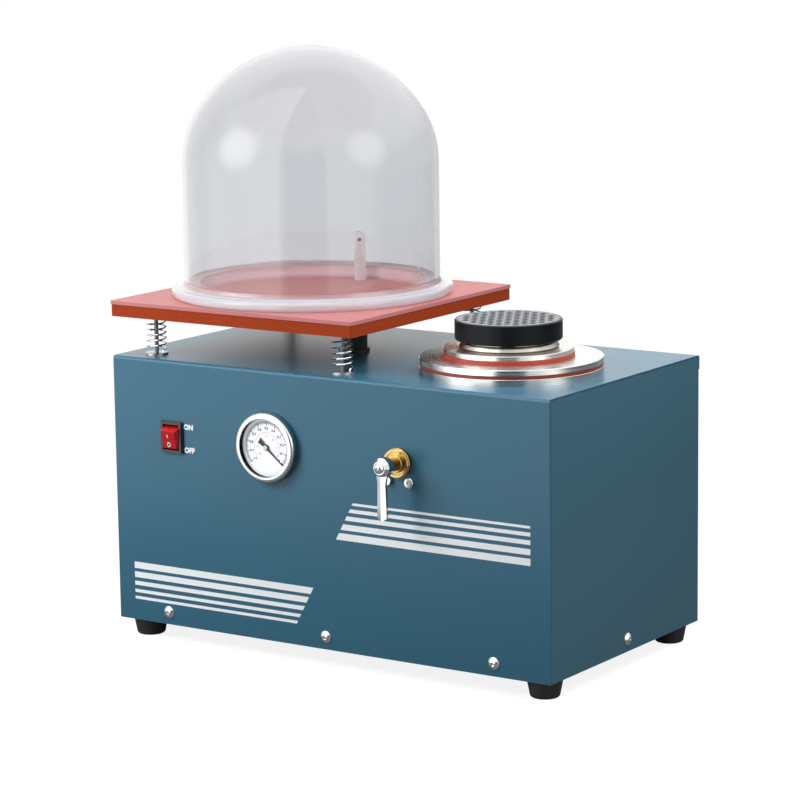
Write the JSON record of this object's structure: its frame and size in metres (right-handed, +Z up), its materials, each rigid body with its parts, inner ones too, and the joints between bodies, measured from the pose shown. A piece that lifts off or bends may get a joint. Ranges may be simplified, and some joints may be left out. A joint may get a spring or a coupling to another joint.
{
  "type": "jewelry vacuum casting machine",
  "caption": "Bench vacuum casting machine: blue sheet metal cabinet, sprung table under a clear bell jar, casting chamber with plates and plug, gauge, valve lever and rocker switch.",
  "frame": {"origin": "on the floor under the middle of the whole footprint, controls and rear louvres included", "axes": "+X to the right as seen from the front, +Y from the front with its controls to the rear, +Z up"},
  "size_m": [0.4962, 0.3152, 0.57],
  "materials": {
    "cabinet_paint": "fine textured semi-gloss teal blue paint",
    "side_paint": "fine textured semi-gloss teal blue paint",
    "zinc_plate": "zinc plated sheet",
    "screw_steel": "stainless",
    "foot_rubber": "matt black",
    "switch_black": "black, fine grain",
    "rocker_red": "red with white marks",
    "gauge_steel": "drawn steel",
    "gauge_chrome": "polished",
    "dial_white": "white with black scale",
    "gauge_glass": "clear",
    "pointer_black": "matt black",
    "valve_brass": "machined",
    "collar_brass": "turned and polished",
    "plug_steel": "ground",
    "lever_chrome": "cast and chrome plated",
    "board_laminate": "orange brown laminate with cut edges",
    "mat_rubber": "pink, glossy",
    "manifold_black": "black",
    "pipe_steel": "polished tube",
    "rod_steel": "blackened rod",
    "bush_steel": "turned",
    "spring_steel": "drawn wire",
    "hose_black": "black hose",
    "jar_acrylic": "clear cast acrylic",
    "ring_steel": "turned stainless",
    "can_steel": "spun stainless",
    "gasket_red": "red silicone",
    "plug_polished": "polished",
    "cap_black": "near black with a pale pocketed top",
    "motor_grey": "grey paint",
    "cowl_black": "satin black",
    "pump_paint": "blue enamel",
    "fan_plastic": "natural nylon",
    "line_tube": "reinforced tube",
    "oil_amber": "amber"
  },
  "bodies": {
    "cabinet": {"cabinet_cover": "cabinet_paint", "side_panel_left": "side_paint", "side_panel_right": "side_paint", "rear_panel": "side_paint", "base_pan": "zinc_plate", "cover_screws": "screw_steel", "side_screws": "screw_steel", "rear_screws": "screw_steel", "rubber_feet": "foot_rubber", "foot_screws": "screw_steel", "switch_bezel": "switch_black", "gauge_case": "gauge_steel", "gauge_bezel": "gauge_chrome", "gauge_dial": "dial_white", "gauge_lens": "gauge_glass", "gauge_movement": "valve_brass", "valve_body": "valve_brass", "valve_collar": "collar_brass", "valve_bracket": "zinc_plate", "bracket_screws": "screw_steel", "rod_bushes": "bush_steel", "table_springs": "spring_steel", "table_hose": "hose_black", "hose_bulkhead": "manifold_black", "chamber_ring": "ring_steel", "chamber_can": "can_steel", "ring_gasket": "gasket_red", "motor_housing": "motor_grey", "motor_cowl": "cowl_black", "pump_block": "pump_paint", "pump_feet": "cowl_black", "pump_screws": "screw_steel", "pump_hose": "line_tube", "table_line": "line_tube", "chamber_line": "line_tube", "gauge_line": "hose_black", "power_inlet": "switch_black", "inlet_pins": "valve_brass", "oil_glass": "oil_amber"},
    "table": {"table_board": "board_laminate", "table_mat": "mat_rubber", "table_manifold": "manifold_black", "stand_pipe": "pipe_steel", "guide_rods": "rod_steel", "rod_nuts": "screw_steel"},
    "bell_jar": {"bell_jar": "jar_acrylic"},
    "adapter": {"adapter_plate": "ring_steel", "flask_gasket": "gasket_red"},
    "flask_plate": {"flask_plate": "ring_steel"},
    "plug": {"plug_collar": "plug_polished", "plug_cap": "cap_black"},
    "rocker": {"switch_rocker": "rocker_red"},
    "pointer": {"gauge_pointer": "pointer_black"},
    "lever": {"valve_lever": "lever_chrome", "valve_plug": "plug_steel", "lever_screw": "lever_chrome"},
    "rotor": {"motor_shaft": "plug_steel", "cooling_fan": "fan_plastic"}
  },
  "joints": [
    {"name": "table_bounce", "type": "slide", "parent": "cabinet", "child": "table", "axis": [0, 0, 1], "range_m": [-0.012, 0], "stiffness_N_per_m": 6000, "springref_m": 0.008, "deforming": ["table_springs", "table_hose"]},
    {"name": "jar_lift", "type": "slide", "parent": "table", "child": "bell_jar", "axis": [0, 0, 1], "range_m": [0, 0.25]},
    {"name": "adapter_lift", "type": "slide", "parent": "cabinet", "child": "adapter", "axis": [0, 0, 1], "range_m": [0, 0.1]},
    {"name": "flask_lift", "type": "slide", "parent": "adapter", "child": "flask_plate", "axis": [0, 0, 1], "range_m": [0, 0.08]},
    {"name": "plug_lift", "type": "slide", "parent": "flask_plate", "child": "plug", "axis": [0, 0, 1], "range_m": [0, 0.06]},
    {"name": "rocker_tilt", "type": "hinge", "parent": "cabinet", "child": "rocker", "pos_m": [-0.175, -0.1177, 0.2035], "axis": [1, 0, 0], "range_deg": [-24, 0]},
    {"name": "pointer_turn", "type": "hinge", "parent": "cabinet", "child": "pointer", "pos_m": [-0.0615, -0.1207, 0.205], "axis": [0, -1, 0], "range_deg": [0, 260], "stiffness_Nm_per_rad": 0.0004},
    {"name": "valve_turn", "type": "hinge", "parent": "cabinet", "child": "lever", "pos_m": [0.0853, -0.1207, 0.205], "axis": [0, 1, 0], "continuous": true},
    {"name": "rotor_spin", "type": "hinge", "parent": "cabinet", "child": "rotor", "pos_m": [-0.15, 0.0368, 0.0975], "axis": [1, 0, 0], "continuous": true}
  ]
}
